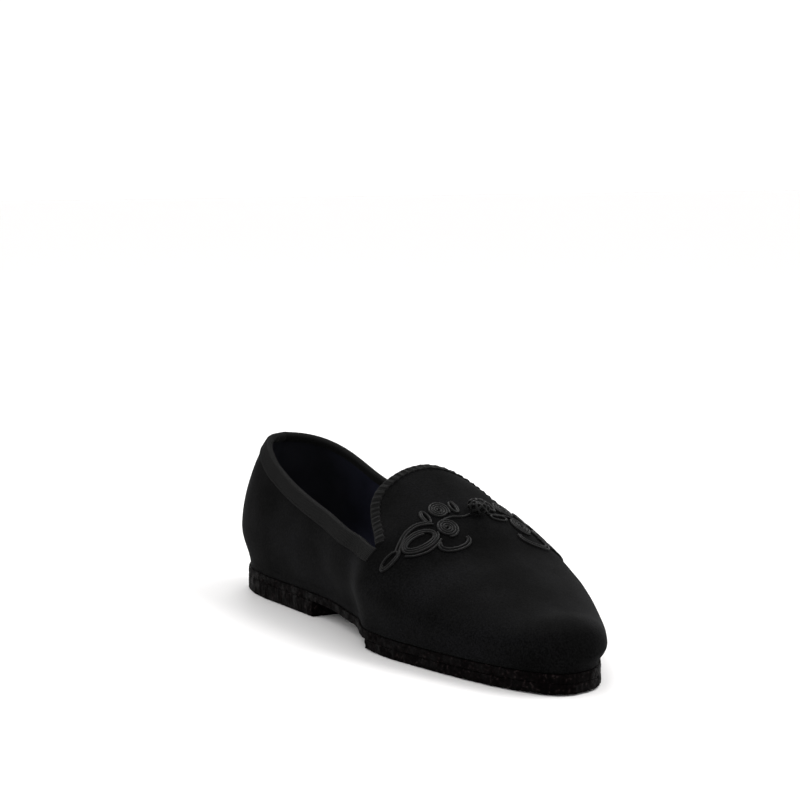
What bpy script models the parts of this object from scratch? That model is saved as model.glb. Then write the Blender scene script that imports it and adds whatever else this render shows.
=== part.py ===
"""Velvet slipper loafer with braided frog fastenings: the left shoe of a pair, in metres.

+X points to the toe, +Y to the wearer's left, which is the outer side of this left shoe, and +Z is up.
The origin is on the floor, under the middle of the shoe's own box.
"""

import math

import bpy
import numpy as np
from mathutils import Matrix, Vector
from mathutils.bvhtree import BVHTree

# Driving dimensions of the last
LENGTH = 0.2885
BALL_WIDTH = 0.0980
HEEL_WIDTH = 0.0590
BACK_HEIGHT = 0.0760
CORNER_HEIGHT = 0.0435
INSTEP_HEIGHT = 0.0720
TOE_HEIGHT = 0.0330
BACK_LEAN = 0.0185
BACK_BULGE = 0.0015
RIDGE_OVER_BACK = 1.08
OUTER_DIP = 0.0055

# Where the throat lies along the shoe, as shares of the length
CORNER_STATION = 0.586
TONGUE_STATION = 0.459

# Bottom
OUTSOLE_THICKNESS = 0.0038
HALF_SOLE_THICKNESS = 0.0044
HEEL_LIFT_HEIGHT = 0.0072
TOE_SPRING = 0.0006
SOLE_EDGE = 0.0012
HEEL_BREAST_STATION = 0.335
HALF_SOLE_STATION = 0.588
EDGE_BEVEL = 0.0004

# Cloth, leather and trimming
UPPER_WALL = 0.0022
INSOLE_THICKNESS = 0.0020
COLLAR_BINDING_WIDTH = 0.0070
TONGUE_BINDING_WIDTH = 0.0042
BINDING_THICKNESS = 0.0007
BINDING_GAP = 0.0006
COLLAR_END_SHARE = 0.50
TONGUE_END_SHARE = 0.50
CORD_RADIUS = 0.0007
CORD_SIDES = 6
KNOT_RADIUS = 0.0044
KNOT_STATION = 0.6015
KNOT_OUT = 0.0035
CLEARANCE = 0.0003

# Mesh fineness
QUARTER_RIBS = 18
TONGUE_RIBS = 17
TONGUE_FAN = 1.6
WALL_ROWS = 13
TUCK_ROWS = 2
SOLE_SECTIONS = 40

# Plan of the sole: half widths on the inner and outer side, as shares of a width that passes from the heel's
# to the ball's, and how much of the ball's width counts there
PLAN_COLUMNS = ("station", "inner", "outer", "ball_part")
PLAN = [
    (0.000, 0.000, 0.000, 0.0),
    (0.015, 0.195, 0.195, 0.0),
    (0.050, 0.335, 0.345, 0.0),
    (0.110, 0.445, 0.450, 0.0),
    (0.190, 0.485, 0.490, 0.0),
    (0.300, 0.448, 0.500, 0.2),
    (0.400, 0.402, 0.475, 0.5),
    (0.500, 0.386, 0.475, 0.9),
    (0.590, 0.465, 0.500, 1.0),
    (0.650, 0.471, 0.505, 1.0),
    (0.700, 0.460, 0.475, 1.0),
    (0.750, 0.444, 0.415, 1.0),
    (0.820, 0.416, 0.308, 1.0),
    (0.880, 0.384, 0.205, 1.0),
    (0.930, 0.342, 0.108, 1.0),
    (0.970, 0.289, 0.018, 1.0),
    (0.990, 0.242, -0.065, 1.0),
    (1.000, 0.171, -0.171, 1.0),
]

# Sections of the last: the ridge's height as shares of the instep's and the toe's height, the height of the
# widest line above the feather edge as a share of what lies above it, the swell of the upper beyond the
# sole's edge on the inner and outer side as shares of the upper's wall, the roundness of the arch, and how
# far the ridge lies to the outer side of the middle as a share of the ball's width
LAST_COLUMNS = ("station", "instep", "toe", "widest", "swell_inner", "swell_outer", "roundness", "ridge_out")
LAST = [
    (0.00, 1.15, 0.00, 0.30, 1.2, 1.2, 2.5, 0.00),
    (0.10, 1.15, 0.00, 0.30, 1.3, 1.3, 2.5, 0.00),
    (0.22, 1.15, 0.00, 0.30, 1.4, 1.3, 2.3, 0.01),
    (0.34, 1.11, 0.00, 0.32, 1.7, 1.4, 2.2, 0.04),
    (0.47, 1.00, 0.00, 0.34, 1.9, 1.4, 2.0, 0.06),
    (0.56, 0.86, 0.00, 0.34, 1.0, 1.4, 2.0, 0.06),
    (0.65, 0.68, 0.00, 0.34, 0.4, 1.2, 2.0, 0.05),
    (0.75, 0.36, 0.38, 0.36, 0.1, 1.0, 1.9, 0.03),
    (0.85, 0.09, 0.76, 0.38, -0.1, 1.0, 1.9, 0.02),
    (0.92, 0.00, 0.87, 0.40, -0.2, 1.1, 2.0, 0.01),
    (0.97, 0.00, 0.78, 0.42, -0.2, 0.9, 2.2, 0.00),
    (0.99, 0.00, 0.66, 0.46, -0.2, 0.5, 2.2, 0.00),
    (1.00, 0.00, 0.50, 0.60, -0.2, -0.2, 2.2, 0.00),
]

# Underside of the through outsole: parts of the heel lift, the half sole and the toe spring below it
SHANK_COLUMNS = ("station", "lift", "half_sole", "spring")
SHANK = [
    (0.00, 1.00, 0.0, 0.00),
    (0.30, 1.00, 0.0, 0.00),
    (0.42, 0.70, 0.4, 0.00),
    (0.54, 0.10, 1.0, 0.00),
    (0.66, 0.00, 1.0, 0.00),
    (0.78, 0.00, 1.0, 0.05),
    (0.90, 0.00, 1.0, 0.45),
    (1.00, 0.00, 1.0, 1.00),
]

# How the rim and the feather edge are paired by the ribs that run between them
PAIR_COLUMNS = ("rim_part", "station")
PAIRS = [
    (0.00, 0.000),
    (0.10, 0.030),
    (0.25, 0.150),
    (0.42, 0.395),
    (0.515, 0.592),
    (0.60, 0.700),
    (0.72, 0.815),
    (0.83, 0.915),
    (0.92, 0.977),
    (1.00, 1.000),
]

# The quarters' edge: how far it has dropped from the heel's back to the throat corner, by station
TOPLINE_COLUMNS = ("station_part", "drop")
TOPLINE = [
    (0.00, 0.00),
    (0.10, 0.04),
    (0.20, 0.14),
    (0.34, 0.36),
    (0.46, 0.53),
    (0.60, 0.68),
    (0.72, 0.79),
    (0.86, 0.91),
    (1.00, 1.00),
]

# The tongue's edge: how far it still lies towards the corner, by its place across from ridge to corner
TONGUE_COLUMNS = ("across_part", "reach")
TONGUE = [
    (0.00, 0.00),
    (0.17, 0.02),
    (0.34, 0.06),
    (0.47, 0.10),
    (0.59, 0.15),
    (0.69, 0.23),
    (0.76, 0.31),
    (0.86, 0.55),
    (0.93, 0.82),
    (1.00, 1.00),
]

INNER, OUTER = -1, 1


def column(table, names, name):
    """One named column of a table, as an array."""
    return np.array([row[names.index(name)] for row in table])


def smooth(xs, ys, x):
    """Monotone cubic curve through the points, read at x."""
    steps = np.diff(xs)
    grades = np.diff(ys) / steps
    slopes = np.zeros(len(xs))
    slopes[0], slopes[-1] = grades[0], grades[-1]
    for k in range(1, len(xs) - 1):
        before, after = grades[k - 1], grades[k]
        if before * after > 0:
            near = 2 * steps[k] + steps[k - 1]
            far = steps[k] + 2 * steps[k - 1]
            slopes[k] = (near + far) / (near / before + far / after)
    x = np.clip(np.asarray(x, float), xs[0], xs[-1])
    k = np.clip(np.searchsorted(xs, x, side="right") - 1, 0, len(steps) - 1)
    t = (x - xs[k]) / steps[k]
    rise = ys[k + 1] - ys[k]
    lift = steps[k] * slopes[k]
    fall = steps[k] * slopes[k + 1]
    return ys[k] + t * lift + t**2 * (3 * rise - 2 * lift - fall) + t**3 * (lift + fall - 2 * rise)


def plan(name, s):
    return smooth(column(PLAN, PLAN_COLUMNS, "station"), column(PLAN, PLAN_COLUMNS, name), s)


def last(name, s):
    return smooth(column(LAST, LAST_COLUMNS, "station"), column(LAST, LAST_COLUMNS, name), s)


def shank(name, s):
    return smooth(column(SHANK, SHANK_COLUMNS, "station"), column(SHANK, SHANK_COLUMNS, name), s)


def outline(s, side, inset=0.0):
    """Plan point of the sole's edge at a station, moved inwards by inset. Returns x and y."""
    name = "inner" if side == INNER else "outer"

    def edge(station):
        part = plan("ball_part", station)
        width = HEEL_WIDTH * (1 - part) + BALL_WIDTH * part
        return (station - 0.5) * LENGTH, side * plan(name, station) * width

    step = 0.002
    x, y = edge(s)
    x0, y0 = edge(np.clip(s - step, 0, 1))
    x1, y1 = edge(np.clip(s + step, 0, 1))
    along = np.stack([x1 - x0, y1 - y0], -1)
    along = along / np.linalg.norm(along, axis=-1, keepdims=True)
    out_x = -side * along[..., 1]
    out_y = side * along[..., 0]
    out_x = np.where(s <= 0, -1.0, np.where(s >= 1, 1.0, out_x))
    out_y = np.where((s <= 0) | (s >= 1), 0.0, out_y)
    return x - out_x * inset, y - out_y * inset


def outsole_bottom(s):
    return (
        HEEL_LIFT_HEIGHT * shank("lift", s)
        + HALF_SOLE_THICKNESS * shank("half_sole", s)
        + TOE_SPRING * shank("spring", s)
    )


def outsole_top(s):
    return outsole_bottom(s) + OUTSOLE_THICKNESS


def feather_height(s):
    """Lowest edge of the upper, just clear of the outsole."""
    return outsole_top(s) + CLEARANCE


def ridge_height(s):
    """Top of the last, which stays above the heel's back."""
    behind = last("instep", 0.0) * INSTEP_HEIGHT + last("toe", 0.0) * TOE_HEIGHT
    lift = max(0.0, RIDGE_OVER_BACK * BACK_HEIGHT - behind)
    plain = last("instep", s) * INSTEP_HEIGHT + last("toe", s) * TOE_HEIGHT
    return plain + lift * np.clip(1 - s / TONGUE_STATION, 0, 1)


def widest_height(s):
    low = feather_height(s)
    return low + last("widest", s) * (np.minimum(ridge_height(s), BACK_HEIGHT) - low)


def swell(s, side):
    name = "swell_inner" if side == INNER else "swell_outer"
    return last(name, s) * UPPER_WALL


def widest_point(s, side):
    return outline(s, side, -swell(s, side))


def feather_inset(s):
    return SOLE_EDGE * np.ones_like(s)


def back_shift(x_share, z, low):
    """How far a point at the back of the heel lies ahead of the plan's edge."""
    near_back = np.clip(1 - x_share / 0.25, 0, 1) ** 1.5
    rise = np.clip((z - low) / (BACK_HEIGHT - low), 0, 1.2)
    lean = BACK_LEAN * np.clip((rise - 0.28) / 0.72, 0, None) ** 1.5
    bulge = BACK_BULGE * np.sin(np.pi * np.clip(rise / 0.7, 0, 1))
    return near_back * (lean - bulge)


def ridge_side(s):
    """Where the ridge of the last lies across the shoe."""
    middle = (widest_point(s, INNER)[1] + widest_point(s, OUTER)[1]) / 2
    return middle + last("ridge_out", s) * BALL_WIDTH


def upper_point(s, a, side):
    """Outer surface of the upper at a station: a is 0 on the ridge and 1 on the widest line."""
    s = np.asarray(s, float)
    a = np.asarray(a, float)
    ends = np.array([0.0, 1.0])
    x_ends = widest_point(ends, side)[0]
    x_ridge = x_ends[0] + (x_ends[1] - x_ends[0]) * s
    x_wide, y_wide = widest_point(s, side)
    y_ridge = ridge_side(s)
    power = 2 / last("roundness", s)
    across = np.sin(a * np.pi / 2) ** power
    up = np.cos(a * np.pi / 2) ** power
    low = widest_height(s)
    z = low + (ridge_height(s) - low) * up
    x = x_ridge + (x_wide - x_ridge) * across + back_shift(s, z, feather_height(s))
    y = y_ridge + (y_wide - y_ridge) * across
    return np.stack([x, y, z], -1)


def tuck_point(s, b, side):
    """Outer surface below the widest line: b is 0 on that line and 1 on the feather edge."""
    inward = (0.5 - 0.5 * np.cos(np.pi * b)) * (swell(s, side) + feather_inset(s))
    x, y = outline(s, side, inward - swell(s, side))
    high, low = widest_height(s), feather_height(s)
    z = high + (low - high) * b
    x = x + back_shift(s, z, low)
    return np.stack([x, y, z], -1)


def arch_share(s, z):
    """The a of upper_point at which the surface has height z."""
    low = widest_height(s)
    up = np.clip((z - low) / (ridge_height(s) - low), 0, 1)
    return np.arccos(up ** (last("roundness", s) / 2)) * 2 / np.pi


def across_arc(s, side, samples=60):
    """Arc lengths from the ridge to the widest line at one station, with their a values."""
    a = np.linspace(0, 1, samples)
    points = upper_point(np.full(samples, float(s)), a, side)
    steps = np.linalg.norm(np.diff(points, axis=0), axis=1)
    return np.concatenate([[0.0], np.cumsum(steps)]), a


def rim(side):
    """Stations and a values of the rim, from the heel's back to the throat corner and the tongue's tip."""
    u = np.linspace(0, 1, QUARTER_RIBS + 1)
    along = 0.3 * u + 0.7 * u**1.5
    stations = CORNER_STATION * along
    drops = smooth(column(TOPLINE, TOPLINE_COLUMNS, "station_part"), column(TOPLINE, TOPLINE_COLUMNS, "drop"), along)
    heights = BACK_HEIGHT + (CORNER_HEIGHT - BACK_HEIGHT) * drops
    if side == OUTER:
        heights = heights - OUTER_DIP * (np.sin(np.pi * along) + 0.35 * along)
    shares = arch_share(stations, heights)
    arcs, values = across_arc(stations[-1], side)
    corner_arc = np.interp(shares[-1], values, arcs)
    parts = column(TONGUE, TONGUE_COLUMNS, "across_part")
    reaches = column(TONGUE, TONGUE_COLUMNS, "reach")
    fine = np.linspace(1, 0, 400)
    reach = smooth(parts, reaches, fine)
    fine_x = reach * (CORNER_STATION - TONGUE_STATION) * LENGTH
    fine_length = np.concatenate([[0.0], np.cumsum(np.hypot(np.diff(fine_x), np.diff(fine) * corner_arc))])
    wanted = np.arange(1, TONGUE_RIBS + 1) / TONGUE_RIBS * fine_length[-1]
    across_parts = np.interp(wanted, fine_length, fine)
    tongue_stations = TONGUE_STATION + (CORNER_STATION - TONGUE_STATION) * smooth(parts, reaches, across_parts)
    tongue_shares = []
    for station, part in zip(tongue_stations, across_parts):
        arcs, values = across_arc(station, side)
        tongue_shares.append(np.interp(corner_arc * part, arcs, values))
    return np.concatenate([stations, tongue_stations]), np.concatenate([shares, tongue_shares])


def rib_course(start, share, foot, tongue_part, is_tongue, side, down):
    """Stations and a values down one rib, at the given parts of its way from the rim to the widest line."""
    ahead = 1 - (1 - down) ** TONGUE_FAN
    quarter_s = start + (foot - start) * down
    quarter_a = share + (1 - share) * down
    tongue_s = start + (foot - start) * ahead
    near_a = share + (1 - share) * down**1.7
    first_part = np.sin(share * np.pi / 2) ** (2 / last("roundness", start))
    first_half = first_part * half_width(start, side)
    wanted = first_half + (half_width(foot, side) - first_half) * ahead
    across = np.clip(wanted / np.maximum(half_width(tongue_s, side), 1e-6), 0, 1)
    far_a = np.arcsin(across ** (last("roundness", tongue_s) / 2)) * 2 / np.pi
    far_a = np.where(down >= 1, 1.0, far_a)
    far_part = np.clip(tongue_part * 1.6, 0, 1)
    tongue_a = near_a * (1 - far_part) + far_a * far_part
    s = quarter_s * (1 - is_tongue) + tongue_s * is_tongue
    a = quarter_a * (1 - is_tongue) + tongue_a * is_tongue
    return s, a


def wall_ribs(side):
    """Grid of points of the outer surface: one rib for each rim point, from the rim to the feather edge.

    The second point of each rib lies just below the binding, so that the wall is straight under the ribbon.
    """
    stations, shares = rim(side)
    count = len(stations)
    parts = np.linspace(0, 1, count)
    feet = smooth(column(PAIRS, PAIR_COLUMNS, "rim_part"), column(PAIRS, PAIR_COLUMNS, "station"), parts)
    grid = np.zeros((count, WALL_ROWS + TUCK_ROWS + 1, 3))
    fine = np.linspace(0, 1, 80)
    for k in range(count):
        tongue_part = np.clip((k - QUARTER_RIBS) / TONGUE_RIBS, 0, 1)
        is_tongue = np.clip((k - QUARTER_RIBS + 3) / 3, 0, 1)
        course = (stations[k], shares[k], feet[k], tongue_part, is_tongue, side)
        points = upper_point(*rib_course(*course, fine), side)
        arcs = np.concatenate([[0.0], np.cumsum(np.linalg.norm(np.diff(points, axis=0), axis=1))])
        width = COLLAR_BINDING_WIDTH if k <= QUARTER_RIBS else TONGUE_BINDING_WIDTH
        first = width + CLEARANCE
        wanted = np.concatenate([[0.0], np.linspace(first, arcs[-1], WALL_ROWS)])
        down = np.interp(wanted, arcs, fine)
        grid[k, : WALL_ROWS + 1] = upper_point(*rib_course(*course, down), side)
        for row in range(1, TUCK_ROWS + 1):
            grid[k, WALL_ROWS + row] = tuck_point(np.array(feet[k]), row / TUCK_ROWS, side)
    return grid


def half_width(s, side):
    """Distance across from the ridge to the widest line."""
    return np.abs(widest_point(s, side)[1] - ridge_side(s))


def whole_wall():
    """Ribs all round: back of the heel, outer side, tongue's tip, inner side and back again."""
    outer = wall_ribs(OUTER)
    inner = wall_ribs(INNER)
    return np.concatenate([outer, inner[-2:0:-1]])


def plain_material(name, colour, roughness):
    """Principled material of one plain colour, for a dry cloth or leather piece."""
    material = bpy.data.materials.new(name)
    material.use_nodes = True
    shader = material.node_tree.nodes["Principled BSDF"]
    shader.inputs["Base Color"].default_value = (*colour, 1)
    shader.inputs["Roughness"].default_value = roughness
    shader.inputs["Metallic"].default_value = 0.0
    return material


def add_object(name, vertices, faces, material, collection):
    mesh = bpy.data.meshes.new(name)
    mesh.from_pydata([tuple(map(float, v)) for v in vertices], [], faces)
    mesh.materials.append(material)
    mesh.update()
    piece = bpy.data.objects.new(name, mesh)
    collection.objects.link(piece)
    return piece


def shade_round(piece, angle=40):
    piece.data.shade_smooth()
    piece.data.set_sharp_from_angle(angle=math.radians(angle))


def loft(name, rings, material, collection, closed=False):
    """Solid through rings of as many points each; an open one has its first and last ring capped."""
    rings = np.asarray(rings)
    count, size = rings.shape[:2]
    faces = []
    for k in range(count if closed else count - 1):
        here, there = k * size, (k + 1) % count * size
        for j in range(size):
            following = (j + 1) % size
            faces.append((here + j, here + following, there + following, there + j))
    if not closed:
        faces.append(tuple(range(size))[::-1])
        faces.append(tuple((count - 1) * size + j for j in range(size)))
    return add_object(name, rings.reshape(-1, 3), faces, material, collection)


def end_spaced(first, last_station, count):
    """Stations that crowd together towards a rounded end of the shoe."""
    t = np.linspace(0, 1, count)
    start = 0.0015 if first <= 0 else first
    stop = 0.9985 if last_station >= 1 else last_station
    if first <= 0 and last_station >= 1:
        t = (1 - np.cos(np.pi * t)) / 2
    elif first <= 0:
        t = 1 - np.cos(np.pi / 2 * t)
    elif last_station >= 1:
        t = np.sin(np.pi / 2 * t)
    return start + (stop - start) * t


def slab(name, stations, inset, bottom, top, material, collection):
    """Layer of the bottom between two height functions, with a small bevel on its edges."""
    rings = []
    for s in stations:
        s = np.array(s)
        low, high = bottom(s), top(s)
        bevel = min(EDGE_BEVEL, (high - low) / 4)
        ring = []
        for side, order in ((OUTER, 1), (INNER, -1)):
            x, y = outline(s, side, inset)
            xi, yi = outline(s, side, inset + bevel)
            corners = [(xi, yi, low), (x, y, low + bevel), (x, y, high - bevel), (xi, yi, high)]
            ring += corners[::order]
        rings.append(ring)
    return loft(name, rings, material, collection)


def make_bottom(collection, leather, rubber, sock):
    """Through outsole, forefoot half sole, heel lift and insole."""
    whole = end_spaced(0, 1, SOLE_SECTIONS)
    slab("outsole", whole, 0.0, outsole_bottom, outsole_top, leather, collection)

    def half_sole_bottom(s):
        return np.maximum(outsole_bottom(s) - HALF_SOLE_THICKNESS, 0.0)

    front = end_spaced(HALF_SOLE_STATION, 1, SOLE_SECTIONS // 2)
    slab("half_sole", front, 0.0, half_sole_bottom, lambda s: outsole_bottom(s) - CLEARANCE, rubber, collection)
    back = end_spaced(0, HEEL_BREAST_STATION, SOLE_SECTIONS // 2)
    slab("heel_lift", back, 0.0, lambda s: s * 0.0, lambda s: outsole_bottom(s) - CLEARANCE, rubber, collection)

    def insole_bottom(s):
        return outsole_top(s) + CLEARANCE

    insole_inset = SOLE_EDGE + UPPER_WALL + 4 * CLEARANCE
    inner = end_spaced(0.02, 0.98, SOLE_SECTIONS // 2)
    slab(
        "insole", inner, insole_inset, insole_bottom, lambda s: insole_bottom(s) + INSOLE_THICKNESS, sock, collection
    )


def wall_faces(wall):
    count, rows = wall.shape[:2]
    faces = []
    for k in range(count):
        here = k * rows
        there = (k + 1) % count * rows
        for j in range(rows - 1):
            faces.append((here + j, there + j, there + j + 1, here + j + 1))
    return faces


def make_upper(wall, collection, velvet):
    """One hollow wall, open at the collar and underneath."""
    upper = add_object("upper", wall.reshape(-1, 3), wall_faces(wall), velvet, collection)
    thick = upper.modifiers.new("wall", "SOLIDIFY")
    thick.thickness = UPPER_WALL
    thick.offset = -1
    thick.use_even_offset = False
    shade_round(upper, 60)
    return upper


def binding_ring(tree, top, forward, out, width):
    """U-shaped section of a ribbon folded over the rim, square to the rim."""
    forward = forward / np.linalg.norm(forward)
    for depth in (width * 0.5, width):
        out = out - forward * np.dot(out, forward)
        out = out / np.linalg.norm(out)
        down = np.cross(out, forward)
        place, face_out = tree.find_nearest(Vector(top + down * depth))[:2]
        foot_out = np.array(face_out)
        if np.dot(foot_out, out) < 0:
            foot_out = -foot_out
        if depth < width:
            out = foot_out
    foot = np.array(place)
    up = top - foot
    up /= np.linalg.norm(up)
    gap = BINDING_GAP
    full = BINDING_GAP + BINDING_THICKNESS
    back = UPPER_WALL
    return [
        foot + foot_out * gap,
        foot + foot_out * full,
        top + out * full + up * full * 0.5,
        top - out * (back / 2) + up * full * 1.2,
        top - out * (back + full) + up * full * 0.5,
        foot - foot_out * (back + full),
        foot - foot_out * (back + gap),
        top - out * (back + gap) + up * gap,
        top + out * gap + up * gap,
    ]


def make_bindings(wall, normals, collection, ribbon):
    """Ribbon round the quarters' edge and a narrower one round the tongue, each ending short of the corners."""
    count = len(wall)
    tree = BVHTree.FromPolygons([Vector(point) for point in wall.reshape(-1, 3)], wall_faces(wall))
    spans = (
        ("collar_binding", -QUARTER_RIBS, QUARTER_RIBS, COLLAR_BINDING_WIDTH, COLLAR_END_SHARE),
        ("tongue_binding", QUARTER_RIBS + 1, count - QUARTER_RIBS - 1, TONGUE_BINDING_WIDTH, TONGUE_END_SHARE),
    )
    for name, first, last_rib, width, share in spans:
        ribs = [k % count for k in range(first, last_rib + 1)]
        tops = np.array([wall[k][0] for k in ribs])
        tops[0] += (tops[1] - tops[0]) * share
        tops[-1] += (tops[-2] - tops[-1]) * share
        ahead = np.gradient(tops, axis=0)
        rings = [binding_ring(tree, top, forward, normals[k][1], width) for top, forward, k in zip(tops, ahead, ribs)]
        shade_round(loft(name, rings, ribbon, collection))


def on_vamp(tree, forward, across, lift):
    """Point over the vamp, measured from the knot: forward to the toe and across to the inner side."""
    s = KNOT_STATION + forward / LENGTH
    arc = across - KNOT_OUT
    side = INNER if arc >= 0 else OUTER
    arcs, values = across_arc(s, side)
    a = np.interp(abs(arc), arcs, values)
    step = 0.004
    here = upper_point(s, a, side)
    along = upper_point(s + step, a, side) - upper_point(s - step, a, side)
    if a < step:
        down = upper_point(s, 2 * step, side) - upper_point(s, 2 * step, -side)
    else:
        down = upper_point(s, min(a + step, 1.0), side) - upper_point(s, a - step, side)
    normal = np.cross(along, down)
    normal /= np.linalg.norm(normal)
    inside = np.array([here[0], ridge_side(s), here[2] / 2])
    if np.dot(normal, here - inside) < 0:
        normal = -normal
    hit = tree.ray_cast(Vector(here + normal * 0.02), Vector(-normal))[0]
    return np.array(hit) + normal * lift, normal


def turning(centre, start, stop, turns, first_angle, steps):
    """Spiral or ring round a centre, from one pair of half sizes (forward, across) to another."""
    t = np.linspace(0, 1, steps)
    angle = math.radians(first_angle) + 2 * np.pi * turns * t
    forward = centre[0] + (start[0] + (stop[0] - start[0]) * t) * np.cos(angle)
    across = centre[1] + (start[1] + (stop[1] - start[1]) * t) * np.sin(angle)
    return list(zip(forward, across))


def cord(name, path, closed, mirrored, tree, collection, braid):
    """Round cord lying on the vamp along a path in millimetres from the knot."""
    placed = []
    for forward, across in path:
        over = (-across if mirrored else across) / 1000
        placed.append(on_vamp(tree, forward / 1000, over, CORD_RADIUS + CLEARANCE))
    points = np.array([p for p, n in placed])
    outs = np.array([n for p, n in placed])
    if closed:
        along = np.roll(points, -1, 0) - np.roll(points, 1, 0)
    else:
        along = np.gradient(points, axis=0)
    rings = []
    for point, out, forward in zip(points, outs, along):
        across = np.cross(forward, out)
        across /= np.linalg.norm(across)
        ring = []
        for k in range(CORD_SIDES):
            turn = 2 * np.pi * k / CORD_SIDES
            ring.append(point + CORD_RADIUS * (across * math.cos(turn) - out * math.sin(turn)))
        rings.append(ring)
    shade_round(loft(name, rings, braid, collection, closed), 80)


def make_frogs(tree, collection, braid):
    """Braided fastening: the same scrolls to each side of a knot, and a loop that holds the knot."""
    tips = {"inner": ((6.0, 52.4), (2.6, 6.1)), "outer": ((6.0, 48.6), (2.4, 4.4))}
    leaves = {"inner": ((7.5, 35.7), (4.9, 9.4), (2.1, 6.3)), "outer": ((7.5, 34.6), (4.7, 8.2), (1.9, 5.3))}
    upper = turning((-4.6, 17.0), (0.9, 0.9), (4.2, 4.2), 2.2, 60, 30)
    lower = turning((6.7, 20.0), (0.9, 0.9), (4.3, 4.3), 2.25, 90, 32)
    outer_side = turning((-3.0, 25.0), (4.0, 1.6), (4.0, 1.6), 1, 0, 15)[:-1]
    inner_side = turning((-4.6, 9.7), (3.3, 1.5), (3.3, 1.5), 1, 0, 15)[:-1]
    petal = turning((15.2, 21.2), (4.8, 8.0), (4.8, 8.0), -0.62, 118, 17)
    for label, mirrored in (("inner", False), ("outer", True)):
        tip = turning(tips[label][0], tips[label][1], tips[label][1], 1, 0, 19)[:-1]
        leaf = turning(*leaves[label], 1.9, -90, 36)
        cord("frog_" + label + "_tip", tip, True, mirrored, tree, collection, braid)
        cord("frog_" + label + "_leaf", leaf, False, mirrored, tree, collection, braid)
        cord("frog_" + label + "_scroll_back", upper, False, mirrored, tree, collection, braid)
        cord("frog_" + label + "_scroll_front", lower, False, mirrored, tree, collection, braid)
        cord("frog_" + label + "_bow_far", outer_side, True, mirrored, tree, collection, braid)
        cord("frog_" + label + "_bow_near", inner_side, True, mirrored, tree, collection, braid)
        cord("frog_" + label + "_petal", petal, False, mirrored, tree, collection, braid)
    loop = turning((3.6, -9.4), (1.9, 4.0), (1.9, 4.0), 1, 0, 15)[:-1]
    cord("frog_loop", loop, True, False, tree, collection, braid)
    base, out = on_vamp(tree, 0.0, 0.0, 0.0)
    forward = on_vamp(tree, 0.002, 0.0, 0.0)[0] - base
    forward -= out * np.dot(forward, out)
    forward /= np.linalg.norm(forward)
    across = np.cross(out, forward)
    height = KNOT_RADIUS * 0.62
    rings = []
    for tilt in np.linspace(-80, 80, 9):
        wide = KNOT_RADIUS * math.cos(math.radians(tilt))
        centre = base + out * (CLEARANCE + 0.0002 + height + height * math.sin(math.radians(tilt)))
        turns = np.linspace(0, 2 * np.pi, 13)[:-1]
        rings.append([centre + wide * (forward * math.cos(k) + across * math.sin(k)) for k in turns])
    shade_round(loft("frog_knot", rings, braid, collection), 60)


def stand_on_origin(collection):
    """Move every piece alike so that the whole stands on the floor, centred over the origin."""
    corners = np.array([vertex.co[:] for piece in collection.objects for vertex in piece.data.vertices])
    low = corners.min(0)
    high = corners.max(0)
    shift = Matrix.Translation((-(low[0] + high[0]) / 2, -(low[1] + high[1]) / 2, -low[2]))
    for piece in collection.objects:
        piece.data.transform(shift)


def clear_scene():
    for old in list(bpy.data.objects):
        bpy.data.objects.remove(old, do_unlink=True)


def main():
    clear_scene()
    collection = bpy.data.collections.new("velvet_slipper_loafer")
    bpy.context.scene.collection.children.link(collection)
    velvet = plain_material("black_velvet", (0.010, 0.010, 0.011), 0.95)
    ribbon = plain_material("black_ribbon", (0.018, 0.018, 0.019), 0.7)
    braid = plain_material("black_braid", (0.020, 0.020, 0.021), 0.6)
    leather = plain_material("sole_leather", (0.012, 0.010, 0.010), 0.75)
    rubber = plain_material("sole_rubber", (0.010, 0.009, 0.009), 0.8)
    sock = plain_material("insole_leather", (0.035, 0.020, 0.160), 0.6)
    wall = whole_wall()
    make_bottom(collection, leather, rubber, sock)
    upper = make_upper(wall, collection, velvet)
    normals = np.array([normal.vector[:] for normal in upper.data.vertex_normals]).reshape(wall.shape)
    make_bindings(wall, normals, collection, ribbon)
    make_frogs(BVHTree.FromPolygons([Vector(v) for v in wall.reshape(-1, 3)], wall_faces(wall)), collection, braid)
    stand_on_origin(collection)


main()
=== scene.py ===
"""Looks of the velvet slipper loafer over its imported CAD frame.

Sizes are in metres where a comment doesn't say otherwise. The shape functions and their sizes follow the
part's source, so that the shown pieces lie where the CAD has them.
"""
import math

import bmesh
import bpy
import numpy as np
from mathutils import Matrix, Vector, noise as solid_noise
from mathutils.bvhtree import BVHTree


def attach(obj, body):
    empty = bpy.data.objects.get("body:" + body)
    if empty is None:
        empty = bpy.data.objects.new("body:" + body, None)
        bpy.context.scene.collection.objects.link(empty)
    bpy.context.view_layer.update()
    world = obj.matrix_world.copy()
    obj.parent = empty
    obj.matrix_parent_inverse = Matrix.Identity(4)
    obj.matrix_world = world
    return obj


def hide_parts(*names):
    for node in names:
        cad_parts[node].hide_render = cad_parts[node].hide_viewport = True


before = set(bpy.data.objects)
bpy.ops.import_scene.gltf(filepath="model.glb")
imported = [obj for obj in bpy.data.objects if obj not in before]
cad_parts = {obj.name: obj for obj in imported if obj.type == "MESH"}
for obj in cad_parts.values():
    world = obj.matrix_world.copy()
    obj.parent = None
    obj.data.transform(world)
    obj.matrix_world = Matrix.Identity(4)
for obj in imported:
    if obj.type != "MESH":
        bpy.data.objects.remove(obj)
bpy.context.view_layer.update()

# Driving dimensions of the last
LENGTH = 0.2885
BALL_WIDTH = 0.0980
HEEL_WIDTH = 0.0590
BACK_HEIGHT = 0.0760
CORNER_HEIGHT = 0.0435
INSTEP_HEIGHT = 0.0720
TOE_HEIGHT = 0.0330
BACK_LEAN = 0.0185
BACK_BULGE = 0.0015
OUTER_DIP = 0.0055

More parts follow.
